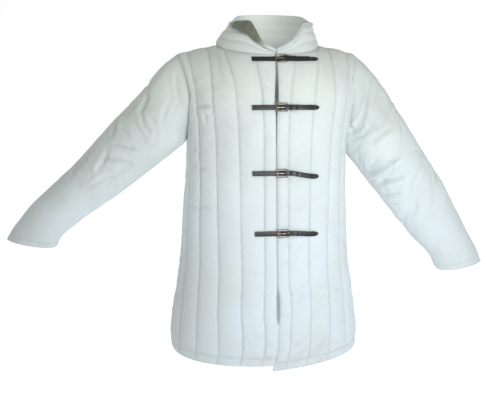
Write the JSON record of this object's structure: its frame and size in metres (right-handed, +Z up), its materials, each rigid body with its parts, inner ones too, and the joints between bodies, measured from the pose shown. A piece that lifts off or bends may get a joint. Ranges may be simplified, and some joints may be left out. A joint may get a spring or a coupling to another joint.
{
  "type": "gambeson",
  "caption": "Quilted padded coat worn beneath plate or mail, filled out as when worn, with a standing collar, long sleeves and a front opening closed by leather straps and frame buckles.",
  "frame": {"origin": "middle of the neck opening at the height of the shoulders, where the wearer holds the coat up", "axes": "+Z up, the front faces -Y, +X is the wearer's left"},
  "size_m": [1.38, 0.3653, 1.0028],
  "materials": {
    "cloth": "matt cotton canvas, padded and quilted",
    "leather": "black, half gloss",
    "brass": "aged, dull"
  },
  "bodies": {
    "root": {"front_right": "cloth", "front_left": "cloth", "back": "cloth", "sleeve_right": "cloth", "sleeve_left": "cloth", "collar": "cloth", "strap_1": "leather", "strap_2": "leather", "strap_3": "leather", "strap_4": "leather", "buckle_tab_1": "leather", "buckle_tab_2": "leather", "buckle_tab_3": "leather", "buckle_tab_4": "leather", "buckle_frame_1": "brass", "buckle_frame_2": "brass", "buckle_frame_3": "brass", "buckle_frame_4": "brass", "buckle_prong_1": "brass", "buckle_prong_2": "brass", "buckle_prong_3": "brass", "buckle_prong_4": "brass"}
  },
  "joints": []
}
